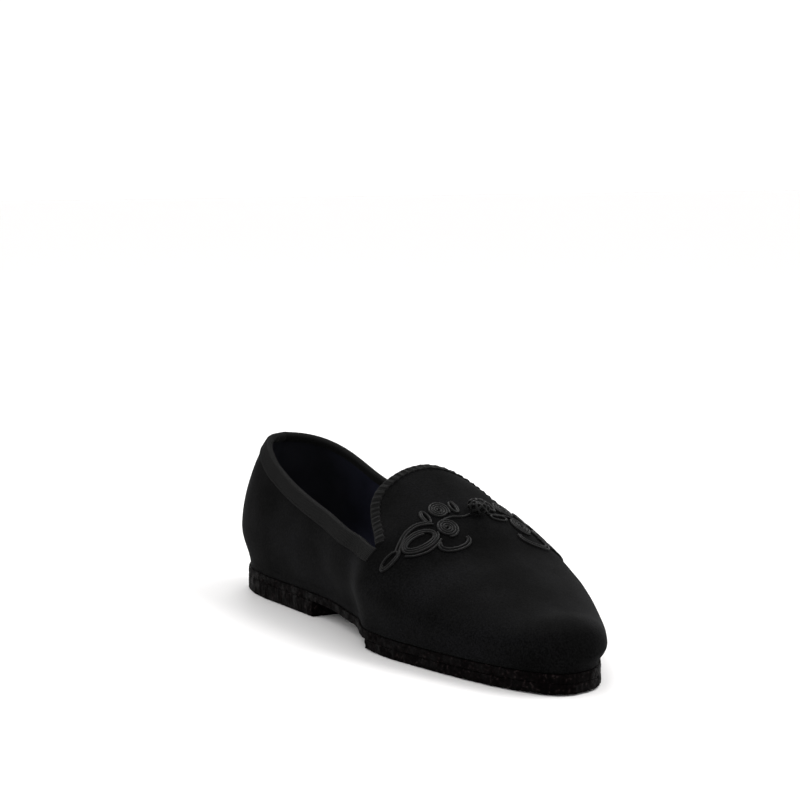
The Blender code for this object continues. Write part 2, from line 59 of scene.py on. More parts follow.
# Where the throat lies along the shoe, as shares of the length
CORNER_STATION = 0.586
TONGUE_STATION = 0.459

# Bottom
OUTSOLE_THICKNESS = 0.0038
HALF_SOLE_THICKNESS = 0.0044
HEEL_LIFT_HEIGHT = 0.0072
TOE_SPRING = 0.0006
SOLE_EDGE = 0.0012
HEEL_BREAST_STATION = 0.335
HALF_SOLE_STATION = 0.588
EDGE_BEVEL = 0.0004

# Cloth, leather and trimming
UPPER_WALL = 0.0022
COLLAR_BINDING_WIDTH = 0.0070
TONGUE_BINDING_WIDTH = 0.0042
BINDING_THICKNESS = 0.0005
BINDING_GAP = 0.0001
COLLAR_INNER_LEG = 0.0034
TONGUE_INNER_LEG = 0.0030
CORD_RADIUS = 0.00056
KNOT_RADIUS = 0.0050
KNOT_STATION = 0.6015
KNOT_OUT = 0.0035
CLEARANCE = 0.0003

# Collar ribbon's ribs: their spacing in millimetres, and their height
RIB_PITCH = 1.05
RIB_HEIGHT = 0.00009

# Tongue ribbon's gathers: their spacing in millimetres, and their height
GATHER_PITCH = 3.9
GATHER_HEIGHT = 0.00024

# Stitches along the collar ribbon
STITCH_PITCH = 0.0026
STITCH_RADIUS = 0.0005
STITCH_STRETCH = (0.42, 0.42, 1.7)
STITCH_INSET = 0.0011

# How deep the soles' edges are worn
OUTSOLE_WEAR = 0.0011
HALF_SOLE_WEAR = 0.0013
HEEL_WEAR = 0.0009

# Mesh fineness of the shown pieces, and how far the tongue's ribs fan out
COLLAR_STEP = 0.00026
TONGUE_STEP = 0.0004
CORD_SIDES = 12
QUARTER_RIBS = 54
TONGUE_RIBS = 51
TONGUE_FAN = 1.6
WALL_ROWS = 44
TUCK_ROWS = 6

# The whole part stands this far from the shape functions' own frame, so that its box is centred on the origin
PLACED = np.array([0.0022247, -0.0031832, 0.0])

# Plan of the sole: half widths on the inner and outer side, as shares of a width that passes from the heel's
# to the ball's, and how much of the ball's width counts there
PLAN_COLUMNS = ("station", "inner", "outer", "ball_part")
PLAN = [
    (0.000, 0.000, 0.000, 0.0),
    (0.015, 0.195, 0.195, 0.0),
    (0.050, 0.335, 0.345, 0.0),
    (0.110, 0.445, 0.450, 0.0),
    (0.190, 0.485, 0.490, 0.0),
    (0.300, 0.448, 0.500, 0.2),
    (0.400, 0.402, 0.475, 0.5),
    (0.500, 0.386, 0.475, 0.9),
    (0.590, 0.465, 0.500, 1.0),
    (0.650, 0.471, 0.505, 1.0),
    (0.700, 0.460, 0.475, 1.0),
    (0.750, 0.444, 0.415, 1.0),
    (0.820, 0.416, 0.308, 1.0),
    (0.880, 0.384, 0.205, 1.0),
    (0.930, 0.342, 0.108, 1.0),
    (0.970, 0.289, 0.018, 1.0),
    (0.990, 0.242, -0.065, 1.0),
    (1.000, 0.171, -0.171, 1.0),
]

# Sections of the last: the ridge's height as shares of the instep's and the toe's height, the height of the
# widest line above the feather edge as a share of what lies above it, the swell of the upper beyond the
# sole's edge on the inner and outer side as shares of the upper's wall, the roundness of the arch, and how
# far the ridge lies to the outer side of the middle as a share of the ball's width
LAST_COLUMNS = ("station", "instep", "toe", "widest", "swell_inner", "swell_outer", "roundness", "ridge_out")
LAST = [
    (0.00, 1.15, 0.00, 0.30, 1.2, 1.2, 2.5, 0.00),
    (0.10, 1.15, 0.00, 0.30, 1.3, 1.3, 2.5, 0.00),
    (0.22, 1.15, 0.00, 0.30, 1.4, 1.3, 2.3, 0.01),
    (0.34, 1.11, 0.00, 0.32, 1.7, 1.4, 2.2, 0.04),
    (0.47, 1.00, 0.00, 0.34, 1.9, 1.4, 2.0, 0.06),
    (0.56, 0.86, 0.00, 0.34, 1.0, 1.4, 2.0, 0.06),
    (0.65, 0.68, 0.00, 0.34, 0.4, 1.2, 2.0, 0.05),
    (0.75, 0.36, 0.38, 0.36, 0.1, 1.0, 1.9, 0.03),
    (0.85, 0.09, 0.76, 0.38, -0.1, 1.0, 1.9, 0.02),
    (0.92, 0.00, 0.87, 0.40, -0.2, 1.1, 2.0, 0.01),
    (0.97, 0.00, 0.78, 0.42, -0.2, 0.9, 2.2, 0.00),
    (0.99, 0.00, 0.66, 0.46, -0.2, 0.5, 2.2, 0.00),
    (1.00, 0.00, 0.50, 0.60, -0.2, -0.2, 2.2, 0.00),
]

# Underside of the through outsole: parts of the heel lift, the half sole and the toe spring below it
SHANK_COLUMNS = ("station", "lift", "half_sole", "spring")
SHANK = [
    (0.00, 1.00, 0.0, 0.00),
    (0.30, 1.00, 0.0, 0.00),
    (0.42, 0.70, 0.4, 0.00),
    (0.54, 0.10, 1.0, 0.00),
    (0.66, 0.00, 1.0, 0.00),
    (0.78, 0.00, 1.0, 0.05),
    (0.90, 0.00, 1.0, 0.45),
    (1.00, 0.00, 1.0, 1.00),
]

# How the rim and the feather edge are paired by the ribs that run between them
PAIR_COLUMNS = ("rim_part", "station")
PAIRS = [
    (0.00, 0.000),
    (0.10, 0.030),
    (0.25, 0.150),
    (0.42, 0.395),
    (0.515, 0.592),
    (0.60, 0.700),
    (0.72, 0.815),
    (0.83, 0.915),
    (0.92, 0.977),
    (1.00, 1.000),
]

# The quarters' edge: how far it has dropped from the heel's back to the throat corner, by station
TOPLINE_COLUMNS = ("station_part", "drop")
TOPLINE = [
    (0.00, 0.00),
    (0.10, 0.04),
    (0.20, 0.14),
    (0.34, 0.36),
    (0.46, 0.53),
    (0.60, 0.68),
    (0.72, 0.79),
    (0.86, 0.91),
    (1.00, 1.00),
]

# The tongue's edge: how far it still lies towards the corner, by its place across from ridge to corner
TONGUE_COLUMNS = ("across_part", "reach")
TONGUE = [
    (0.00, 0.00),
    (0.17, 0.02),
    (0.34, 0.06),
    (0.47, 0.10),
    (0.59, 0.15),
    (0.69, 0.23),
    (0.76, 0.31),
    (0.86, 0.55),
    (0.93, 0.82),
    (1.00, 1.00),
]

INNER, OUTER = -1, 1


def column(table, names, name):
    """One named column of a table, as an array."""
    return np.array([row[names.index(name)] for row in table])


def smooth(xs, ys, x):
    """Monotone cubic curve through the points, read at x."""
    steps = np.diff(xs)
    grades = np.diff(ys) / steps
    slopes = np.zeros(len(xs))
    slopes[0], slopes[-1] = grades[0], grades[-1]
    for k in range(1, len(xs) - 1):
        before, after = grades[k - 1], grades[k]
        if before * after > 0:
            near = 2 * steps[k] + steps[k - 1]
            far = steps[k] + 2 * steps[k - 1]
            slopes[k] = (near + far) / (near / before + far / after)
    x = np.clip(np.asarray(x, float), xs[0], xs[-1])
    k = np.clip(np.searchsorted(xs, x, side="right") - 1, 0, len(steps) - 1)
    t = (x - xs[k]) / steps[k]
    rise = ys[k + 1] - ys[k]
    lift = steps[k] * slopes[k]
    fall = steps[k] * slopes[k + 1]
    return ys[k] + t * lift + t**2 * (3 * rise - 2 * lift - fall) + t**3 * (lift + fall - 2 * rise)


def plan(name, s):
    return smooth(column(PLAN, PLAN_COLUMNS, "station"), column(PLAN, PLAN_COLUMNS, name), s)


def last(name, s):
    return smooth(column(LAST, LAST_COLUMNS, "station"), column(LAST, LAST_COLUMNS, name), s)


def shank(name, s):
    return smooth(column(SHANK, SHANK_COLUMNS, "station"), column(SHANK, SHANK_COLUMNS, name), s)


def outline(s, side, inset=0.0):
    """Plan point of the sole's edge at a station, moved inwards by inset. Returns x and y."""
    name = "inner" if side == INNER else "outer"

    def edge(station):
        part = plan("ball_part", station)
        width = HEEL_WIDTH * (1 - part) + BALL_WIDTH * part
        return (station - 0.5) * LENGTH, side * plan(name, station) * width

    step = 0.002
    x, y = edge(s)
    x0, y0 = edge(np.clip(s - step, 0, 1))
    x1, y1 = edge(np.clip(s + step, 0, 1))
    along = np.stack([x1 - x0, y1 - y0], -1)
    along = along / np.linalg.norm(along, axis=-1, keepdims=True)
    out_x = -side * along[..., 1]
    out_y = side * along[..., 0]
    out_x = np.where(s <= 0, -1.0, np.where(s >= 1, 1.0, out_x))
    out_y = np.where((s <= 0) | (s >= 1), 0.0, out_y)
    return x - out_x * inset, y - out_y * inset


def outsole_bottom(s):
    return (
        HEEL_LIFT_HEIGHT * shank("lift", s)
        + HALF_SOLE_THICKNESS * shank("half_sole", s)
        + TOE_SPRING * shank("spring", s)
    )


def outsole_top(s):
    return outsole_bottom(s) + OUTSOLE_THICKNESS


def feather_height(s):
    """Lowest edge of the upper, just clear of the outsole."""
    return outsole_top(s) + CLEARANCE


def ridge_height(s):
    return last("instep", s) * INSTEP_HEIGHT + last("toe", s) * TOE_HEIGHT


def widest_height(s):
    low = feather_height(s)
    return low + last("widest", s) * (np.minimum(ridge_height(s), BACK_HEIGHT) - low)


def swell(s, side):
    name = "swell_inner" if side == INNER else "swell_outer"
    return last(name, s) * UPPER_WALL


def widest_point(s, side):
    return outline(s, side, -swell(s, side))


def feather_inset(s):
    return SOLE_EDGE * np.ones_like(s)


def back_shift(x_share, z, low):
    """How far a point at the back of the heel lies ahead of the plan's edge."""
    near_back = np.clip(1 - x_share / 0.25, 0, 1) ** 1.5
    rise = np.clip((z - low) / (BACK_HEIGHT - low), 0, 1.2)
    lean = BACK_LEAN * np.clip((rise - 0.28) / 0.72, 0, None) ** 1.5
    bulge = BACK_BULGE * np.sin(np.pi * np.clip(rise / 0.7, 0, 1))
    return near_back * (lean - bulge)


def ridge_side(s):
    """Where the ridge of the last lies across the shoe."""
    middle = (widest_point(s, INNER)[1] + widest_point(s, OUTER)[1]) / 2
    return middle + last("ridge_out", s) * BALL_WIDTH


def upper_point(s, a, side):
    """Outer surface of the upper at a station: a is 0 on the ridge and 1 on the widest line."""
    s = np.asarray(s, float)
    a = np.asarray(a, float)
    ends = np.array([0.0, 1.0])
    x_ends = widest_point(ends, side)[0]
    x_ridge = x_ends[0] + (x_ends[1] - x_ends[0]) * s
    x_wide, y_wide = widest_point(s, side)
    y_ridge = ridge_side(s)
    power = 2 / last("roundness", s)
    across = np.sin(a * np.pi / 2) ** power
    up = np.cos(a * np.pi / 2) ** power
    low = widest_height(s)
    z = low + (ridge_height(s) - low) * up
    x = x_ridge + (x_wide - x_ridge) * across + back_shift(s, z, feather_height(s))
    y = y_ridge + (y_wide - y_ridge) * across
    return np.stack([x, y, z], -1)


def tuck_point(s, b, side):
    """Outer surface below the widest line: b is 0 on that line and 1 on the feather edge."""
    inward = (0.5 - 0.5 * np.cos(np.pi * b)) * (swell(s, side) + feather_inset(s))
    x, y = outline(s, side, inward - swell(s, side))
    high, low = widest_height(s), feather_height(s)
    z = high + (low - high) * b
    x = x + back_shift(s, z, low)
    return np.stack([x, y, z], -1)


def arch_share(s, z):
    """The a of upper_point at which the surface has height z."""
    low = widest_height(s)
    up = np.clip((z - low) / (ridge_height(s) - low), 0, 1)
    return np.arccos(up ** (last("roundness", s) / 2)) * 2 / np.pi


def across_arc(s, side, samples=60):
    """Arc lengths from the ridge to the widest line at one station, with their a values."""
    a = np.linspace(0, 1, samples)
    points = upper_point(np.full(samples, float(s)), a, side)
    steps = np.linalg.norm(np.diff(points, axis=0), axis=1)
    return np.concatenate([[0.0], np.cumsum(steps)]), a


def rim(side):
    """Stations and a values of the rim, from the heel's back to the throat corner and the tongue's tip."""
    u = np.linspace(0, 1, QUARTER_RIBS + 1)
    along = 0.3 * u + 0.7 * u**1.5
    stations = CORNER_STATION * along
    places = column(TOPLINE, TOPLINE_COLUMNS, "station_part")
    drops = smooth(places, column(TOPLINE, TOPLINE_COLUMNS, "drop"), along)
    heights = BACK_HEIGHT + (CORNER_HEIGHT - BACK_HEIGHT) * drops
    if side == OUTER:
        heights = heights - OUTER_DIP * (np.sin(np.pi * along) + 0.35 * along)
    shares = arch_share(stations, heights)
    arcs, values = across_arc(stations[-1], side)
    corner_arc = np.interp(shares[-1], values, arcs)
    parts = column(TONGUE, TONGUE_COLUMNS, "across_part")
    reaches = column(TONGUE, TONGUE_COLUMNS, "reach")
    fine = np.linspace(1, 0, 400)
    reach = smooth(parts, reaches, fine)
    fine_x = reach * (CORNER_STATION - TONGUE_STATION) * LENGTH
    fine_length = np.concatenate([[0.0], np.cumsum(np.hypot(np.diff(fine_x), np.diff(fine) * corner_arc))])
    wanted = np.arange(1, TONGUE_RIBS + 1) / TONGUE_RIBS * fine_length[-1]
    across_parts = np.interp(wanted, fine_length, fine)
    tongue_reach = smooth(parts, reaches, across_parts)
    tongue_stations = TONGUE_STATION + (CORNER_STATION - TONGUE_STATION) * tongue_reach
    tongue_shares = []
    for station, part in zip(tongue_stations, across_parts):
        arcs, values = across_arc(station, side)
        tongue_shares.append(np.interp(corner_arc * part, arcs, values))
    return np.concatenate([stations, tongue_stations]), np.concatenate([shares, tongue_shares])


def rib_course(start, share, foot, tongue_part, is_tongue, side, down):
    """Stations and a values down one rib, at the given parts of its way from the rim to the widest line."""
    ahead = 1 - (1 - down) ** TONGUE_FAN
    quarter_s = start + (foot - start) * down
    quarter_a = share + (1 - share) * down
    tongue_s = start + (foot - start) * ahead
    near_a = share + (1 - share) * down**1.7
    first_part = np.sin(share * np.pi / 2) ** (2 / last("roundness", start))
    first_half = first_part * half_width(start, side)
    wanted = first_half + (half_width(foot, side) - first_half) * ahead
    across = np.clip(wanted / np.maximum(half_width(tongue_s, side), 1e-6), 0, 1)
    far_a = np.arcsin(across ** (last("roundness", tongue_s) / 2)) * 2 / np.pi
    far_a = np.where(down >= 1, 1.0, far_a)
    far_part = np.clip(tongue_part * 1.6, 0, 1)
    tongue_a = near_a * (1 - far_part) + far_a * far_part
    s = quarter_s * (1 - is_tongue) + tongue_s * is_tongue
    a = quarter_a * (1 - is_tongue) + tongue_a * is_tongue
    return s, a


def wall_ribs(side):
    """Grid of points of the outer surface: one rib for each rim point, from the rim to the feather edge."""
    stations, shares = rim(side)
    count = len(stations)
    parts = np.linspace(0, 1, count)
    feet = smooth(column(PAIRS, PAIR_COLUMNS, "rim_part"), column(PAIRS, PAIR_COLUMNS, "station"), parts)
    grid = np.zeros((count, WALL_ROWS + TUCK_ROWS + 1, 3))
    fine = np.linspace(0, 1, 80)
    for k in range(count):
        tongue_part = np.clip((k - QUARTER_RIBS) / TONGUE_RIBS, 0, 1)
        is_tongue = np.clip((k - QUARTER_RIBS + 9) / 9, 0, 1)
        course = (stations[k], shares[k], feet[k], tongue_part, is_tongue, side)
        points = upper_point(*rib_course(*course, fine), side)
        arcs = np.concatenate([[0.0], np.cumsum(np.linalg.norm(np.diff(points, axis=0), axis=1))])
        wanted = np.linspace(0, arcs[-1], WALL_ROWS + 1)
        down = np.interp(wanted, arcs, fine)
        grid[k, : WALL_ROWS + 1] = upper_point(*rib_course(*course, down), side)
        for row in range(1, TUCK_ROWS + 1):
            grid[k, WALL_ROWS + row] = tuck_point(np.array(feet[k]), row / TUCK_ROWS, side)
    return grid


def half_width(s, side):
    """Distance across from the ridge to the widest line."""
    return np.abs(widest_point(s, side)[1] - ridge_side(s))


def whole_wall():
    """Ribs all round: back of the heel, outer side, tongue's tip, inner side and back again."""
    outer = wall_ribs(OUTER)
    inner = wall_ribs(INNER)
    return np.concatenate([outer, inner[-2:0:-1]])


def new_material(name, colour, roughness):
    """A new material of one colour and roughness, with its node tree and its shader."""
    material = bpy.data.materials.new(name)
    material.use_nodes = True
    shader = material.node_tree.nodes["Principled BSDF"]
    shader.inputs["Base Color"].default_value = (*colour, 1)
    shader.inputs["Roughness"].default_value = roughness
    return material, material.node_tree, shader


def noise(tree, coordinate, scale, detail=3.0):
    node = tree.nodes.new("ShaderNodeTexNoise")
    node.inputs["Scale"].default_value = scale
    node.inputs["Detail"].default_value = detail
    tree.links.new(coordinate, node.inputs["Vector"])
    return node.outputs["Fac"]


def object_coordinates(tree):
    return tree.nodes.new("ShaderNodeTexCoord").outputs["Object"]


def stretched(tree, coordinate, stretch):
    node = tree.nodes.new("ShaderNodeMapping")
    node.inputs["Scale"].default_value = stretch
    tree.links.new(coordinate, node.inputs["Vector"])
    return node.outputs["Vector"]


def ramp(tree, factor, stops):
    """Colour ramp through (position, colour) stops."""
    node = tree.nodes.new("ShaderNodeValToRGB")
    elements = node.color_ramp.elements
    while len(elements) < len(stops):
        elements.new(0.5)
    for element, (position, colour) in zip(elements, stops):
        element.position = position
        element.color = (*colour, 1)
    tree.links.new(factor, node.inputs["Fac"])
    return node.outputs["Color"]


def multiplied(tree, ground, tint):
    """Colour of the ground, darkened or tinted by another colour."""
    blend = tree.nodes.new("ShaderNodeMixRGB")
    blend.blend_type = "MULTIPLY"
    blend.inputs["Fac"].default_value = 1.0
    tree.links.new(ground, blend.inputs["Color1"])
    tree.links.new(tint, blend.inputs["Color2"])
    return blend.outputs["Color"]


def bump(tree, shader, height, distance, strength):
    node = tree.nodes.new("ShaderNodeBump")
    node.inputs["Distance"].default_value = distance
    node.inputs["Strength"].default_value = strength
    tree.links.new(height, node.inputs["Height"])
    tree.links.new(node.outputs["Normal"], shader.inputs["Normal"])


def grey(value):
    return (value, value, value)


def velvet_material():
    """Black velvet: a near-black ground with a faint sheen that changes where the nap is brushed."""
    material, tree, shader = new_material("black_velvet", grey(0.003), 0.9)
    shader.inputs["Specular IOR Level"].default_value = 0.02
    place = object_coordinates(tree)
    brushed = noise(tree, stretched(tree, place, (0.8, 1.0, 1.1)), 34.0, 3.0)
    pile = noise(tree, place, 1300.0, 2.0)
    ground = ramp(tree, pile, [(0.34, grey(0.0016)), (0.66, grey(0.0056))])
    nap = ramp(tree, brushed, [(0.36, grey(0.48)), (0.54, (0.80, 0.80, 0.84)), (0.66, (0.98, 0.98, 1.10))])
    tree.links.new(multiplied(tree, ground, nap), shader.inputs["Base Color"])
    sheen = ramp(tree, brushed, [(0.36, grey(0.010)), (0.66, grey(0.024))])
    tree.links.new(sheen, shader.inputs["Sheen Weight"])
    shader.inputs["Sheen Roughness"].default_value = 0.40
    shader.inputs["Sheen Tint"].default_value = (0.96, 0.97, 1.0, 1)
    bump(tree, shader, pile, 0.00025, 0.7)
    return material


# The lining's colours run from this far behind the middle to as far ahead of it
LINING_REACH = 0.146


def lining_material():
    """Lining: blue cloth in the forepart, a black heel grip behind it and a dark seam between the two."""
    material, tree, shader = new_material("blue_lining", (0.006, 0.006, 0.020), 0.5)
    shader.inputs["Specular IOR Level"].default_value = 0.15
    place = object_coordinates(tree)
    parts = tree.nodes.new("ShaderNodeSeparateXYZ")
    tree.links.new(place, parts.inputs["Vector"])
    along = tree.nodes.new("ShaderNodeMapRange")
    along.inputs["From Min"].default_value = -LINING_REACH
    along.inputs["From Max"].default_value = LINING_REACH
    tree.links.new(parts.outputs["X"], along.inputs["Value"])
    lengthwise = ramp(tree, along.outputs["Result"], [
        (0.10, (0.010, 0.010, 0.013)), (0.24, (0.022, 0.023, 0.042)), (0.30, (0.060, 0.064, 0.130)),
        (0.325, (0.010, 0.010, 0.020)), (0.345, (0.085, 0.090, 0.190)), (0.50, (0.095, 0.098, 0.260)),
        (0.575, (0.075, 0.058, 0.300)), (0.62, (0.030, 0.030, 0.080)),
    ])
    cloudy = ramp(tree, noise(tree, place, 40.0, 3.0), [(0.35, grey(0.45)), (0.65, grey(1.0))])
    tree.links.new(multiplied(tree, lengthwise, cloudy), shader.inputs["Base Color"])
    bump(tree, shader, noise(tree, place, 420.0), 0.0002, 0.3)
    return material


def woven_ribs():
    """Shader group of the trimmings: a height that swells once for each Pitch that Along grows by."""
    group = bpy.data.node_groups.new("woven_ribs", "ShaderNodeTree")
    for word in ("Along", "Pitch"):
        group.interface.new_socket(word, in_out="INPUT", socket_type="NodeSocketFloat")
    group.interface.new_socket("Height", in_out="OUTPUT", socket_type="NodeSocketFloat")
    nodes, links = group.nodes, group.links
    start = nodes.new("NodeGroupInput")
    finish = nodes.new("NodeGroupOutput")
    ribs = nodes.new("ShaderNodeMath")
    ribs.operation = "DIVIDE"
    links.new(start.outputs["Along"], ribs.inputs[0])
    links.new(start.outputs["Pitch"], ribs.inputs[1])
    turn = nodes.new("ShaderNodeMath")
    turn.operation = "MULTIPLY"
    turn.inputs[1].default_value = 2 * math.pi
    links.new(ribs.outputs[0], turn.inputs[0])
    wave = nodes.new("ShaderNodeMath")
    wave.operation = "SINE"
    links.new(turn.outputs[0], wave.inputs[0])
    links.new(wave.outputs[0], finish.inputs["Height"])
    return group


def rib_height(tree, ribs, along, pitch):
    """Places the group of woven ribs in a material, with its own pitch."""
    node = tree.nodes.new("ShaderNodeGroup")
    node.node_tree = ribs
    node.inputs["Pitch"].default_value = pitch
    tree.links.new(along, node.inputs["Along"])
    return node.outputs["Height"]


def ribbed_material(name, colour, ribs, pitch, depth):
    """Woven trimming with ribs across its length, which runs along the first UV direction in millimetres."""
    material, tree, shader = new_material(name, colour, 0.8)
    shader.inputs["Specular IOR Level"].default_value = 0.06
    shader.inputs["Sheen Weight"].default_value = 0.02
    shader.inputs["Sheen Roughness"].default_value = 0.5
    parts = tree.nodes.new("ShaderNodeSeparateXYZ")
    tree.links.new(tree.nodes.new("ShaderNodeUVMap").outputs["UV"], parts.inputs["Vector"])
    bump(tree, shader, rib_height(tree, ribs, parts.outputs["X"], pitch), depth, 0.8)
    return material


def braid_material(ribs):
    """Plaited cord: threads that slant round it, with a painted highlight on top and painted shade at its
    sides and underneath.
    """
    material, tree, shader = new_material("black_braid", grey(0.0045), 0.5)
    shader.inputs["Specular IOR Level"].default_value = 0.10
    shader.inputs["Sheen Weight"].default_value = 0.015
    shader.inputs["Sheen Roughness"].default_value = 0.4
    parts = tree.nodes.new("ShaderNodeSeparateXYZ")
    tree.links.new(tree.nodes.new("ShaderNodeUVMap").outputs["UV"], parts.inputs["Vector"])
    # Painted light round the cord: the lighter colour on its top is a painted highlight, and the near-black
    # at its sides and underneath is painted shade.
    painted_side_shade, wear_and_highlight = grey(0.0002), grey(0.0042)
    around = ramp(tree, parts.outputs["Y"], [(0.04, painted_side_shade), (0.17, wear_and_highlight), (0.33, wear_and_highlight), (0.46, painted_side_shade)])
    tree.links.new(around, shader.inputs["Base Color"])
    slant = tree.nodes.new("ShaderNodeMath")
    slant.operation = "MULTIPLY_ADD"
    slant.inputs[1].default_value = 4.2
    tree.links.new(parts.outputs["Y"], slant.inputs[0])
    tree.links.new(parts.outputs["X"], slant.inputs[2])
    bump(tree, shader, rib_height(tree, ribs, slant.outputs[0], 0.42), 0.00007, 0.8)
    return material


def thread_material():
    """Twisted black sewing thread."""
    material, tree, shader = new_material("black_thread", grey(0.0022), 0.7)
    shader.inputs["Specular IOR Level"].default_value = 0.06
    twist = noise(tree, stretched(tree, object_coordinates(tree), (1.0, 1.0, 3.0)), 2600.0, 2.0)
    tree.links.new(ramp(tree, twist, [(0.4, grey(0.0010)), (0.6, grey(0.0040))]), shader.inputs["Base Color"])
    return material


def insole_material():
    """Dark blue-black leather sock, darker and smoother where the foot has worn it."""
    material, tree, shader = new_material("insole_leather_worn", (0.006, 0.006, 0.013), 0.55)
    shader.inputs["Specular IOR Level"].default_value = 0.12
    place = object_coordinates(tree)
    wear_and_highlight = noise(tree, place, 22.0, 3.0)
    colour = ramp(tree, wear_and_highlight, [(0.36, (0.0030, 0.0030, 0.0050)), (0.64, (0.0095, 0.0095, 0.0190))])
    tree.links.new(colour, shader.inputs["Base Color"])
    tree.links.new(ramp(tree, wear_and_highlight, [(0.36, grey(0.40)), (0.64, grey(0.68))]), shader.inputs["Roughness"])
    bump(tree, shader, noise(tree, place, 900.0, 4.0), 0.00020, 0.6)
    return material


def worn_edge():
    """Shader group of the soles' edges: speckled colour, uneven roughness, and the grains' height."""
    group = bpy.data.node_groups.new("worn_edge", "ShaderNodeTree")
    group.interface.new_socket("Place", in_out="INPUT", socket_type="NodeSocketVector")
    group.interface.new_socket("Color", in_out="OUTPUT", socket_type="NodeSocketColor")
    group.interface.new_socket("Roughness", in_out="OUTPUT", socket_type="NodeSocketFloat")
    group.interface.new_socket("Grains", in_out="OUTPUT", socket_type="NodeSocketFloat")
    place = group.nodes.new("NodeGroupInput").outputs["Place"]
    finish = group.nodes.new("NodeGroupOutput")
    grains = noise(group, place, 650.0, 6.0)
    colour = ramp(group, grains, [
        (0.42, (0.0003, 0.0001, 0.0001)), (0.60, (0.0013, 0.0006, 0.0007)), (0.68, (0.0110, 0.0080, 0.0080)),
    ])
    rough = ramp(group, noise(group, place, 180.0, 4.0), [(0.40, grey(0.55)), (0.62, grey(0.90))])
    group.links.new(colour, finish.inputs["Color"])
    group.links.new(rough, finish.inputs["Roughness"])
    group.links.new(grains, finish.inputs["Grains"])
    return group


def sole_material(name, wear, striped):
    """Rough dark edge of a sole: speckled brown and black, with ground lines down the heel."""
    material, tree, shader = new_material(name, (0.006, 0.0045, 0.0045), 0.6)
    shader.inputs["Specular IOR Level"].default_value = 0.03
    place = object_coordinates(tree)
    wear_and_highlight = tree.nodes.new("ShaderNodeGroup")
    wear_and_highlight.node_tree = wear
    tree.links.new(place, wear_and_highlight.inputs["Place"])
    tree.links.new(wear_and_highlight.outputs["Color"], shader.inputs["Base Color"])
    tree.links.new(wear_and_highlight.outputs["Roughness"], shader.inputs["Roughness"])
    if striped:
        lines = noise(tree, stretched(tree, place, (1.0, 1.0, 0.08)), 900.0, 3.0)
        bump(tree, shader, lines, 0.0006, 0.9)
    else:
        bump(tree, shader, wear_and_highlight.outputs["Grains"], 0.0005, 0.9)
    return material


def mesh_piece(name, vertices, faces, materials, uvs=None, indices=None, rounded=True):
    mesh = bpy.data.meshes.new(name)
    mesh.from_pydata([tuple(map(float, v)) for v in vertices], [], faces)
    for material in materials:
        mesh.materials.append(material)
    if uvs is not None:
        layer = mesh.uv_layers.new(name="UVMap")
        loops = np.zeros(len(mesh.loops), dtype=np.int64)
        mesh.loops.foreach_get("vertex_index", loops)
        layer.data.foreach_set("uv", np.asarray(uvs, dtype=np.float32)[loops].ravel())
    if indices is not None:
        mesh.polygons.foreach_set("material_index", indices)
    mesh.polygons.foreach_set("use_smooth", [rounded] * len(mesh.polygons))
    work = bmesh.new()
    work.from_mesh(mesh)
    bmesh.ops.recalc_face_normals(work, faces=work.faces)
    work.to_mesh(mesh)
    work.free()
    mesh.update()
    piece = bpy.data.objects.new(name, mesh)
    bpy.context.scene.collection.objects.link(piece)
    return piece


def settle(piece, slot_name, *nodes):
    """The piece moves with the shoe's one body and stands for CAD nodes, which it hides; slot_name is not
    used.
    """
    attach(piece, "root")
    if nodes:
        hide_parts(*nodes)
    return piece


def sweep(name, rings, materials, closed, along, around):
    """Closed solid through rings, with UVs in millimetres along and around it."""
    rings = np.asarray(rings)
    count, size = rings.shape[:2]
    faces = []
    for k in range(count if closed else count - 1):
        here = k * size
        there = (k + 1) % count * size
        for j in range(size):
            following = (j + 1) % size
            faces.append((here + j, here + following, there + following, there + j))
    if not closed:
        faces.append(tuple(range(size))[::-1])
        faces.append(tuple((count - 1) * size + j for j in range(size)))
    uvs = np.stack([np.repeat(along, size), np.tile(around, count)], -1)
    return mesh_piece(name, rings.reshape(-1, 3), faces, materials, uvs)


def grid_normals(grid):
    """Outward normals of the wall's grid, which runs round the shoe in its first direction."""
    round_step = np.roll(grid, -1, 0) - np.roll(grid, 1, 0)
    down_step = np.gradient(grid, axis=1)
    normal = np.cross(round_step, down_step)
    return normal / np.maximum(np.linalg.norm(normal, axis=2, keepdims=True), 1e-12)


def wall_tree(wall):
    """The wall's outer faces, for finding its nearest point."""
    count, rows = wall.shape[:2]
    faces = []
    for k in range(count):
        there = (k + 1) % count * rows
        for j in range(rows - 1):
            faces.append((k * rows + j, there + j, there + j + 1, k * rows + j + 1))
    return BVHTree.FromPolygons([Vector(v) for v in wall.reshape(-1, 3)], faces)


def make_upper(wall, normals, velvet, lining):
    """The upper's wall: velvet outside and lining inside."""
    count, rows = wall.shape[:2]
    inner = wall - normals * UPPER_WALL
    vertices = np.concatenate([wall.reshape(-1, 3), inner.reshape(-1, 3)])
    back = count * rows
    faces = []
    indices = []
    for k in range(count):
        here = k * rows
        there = (k + 1) % count * rows
        for j in range(rows - 1):
            faces.append((here + j, there + j, there + j + 1, here + j + 1))
            indices.append(0)
            faces.append((back + here + j, back + here + j + 1, back + there + j + 1, back + there + j))
            indices.append(1)
        faces.append((here, back + here, back + there, there))
        indices.append(0)
        foot = rows - 1
        faces.append((here + foot, there + foot, back + there + foot, back + here + foot))
        indices.append(0)
    return mesh_piece("upper_velvet", vertices, faces, [velvet, lining], None, indices)


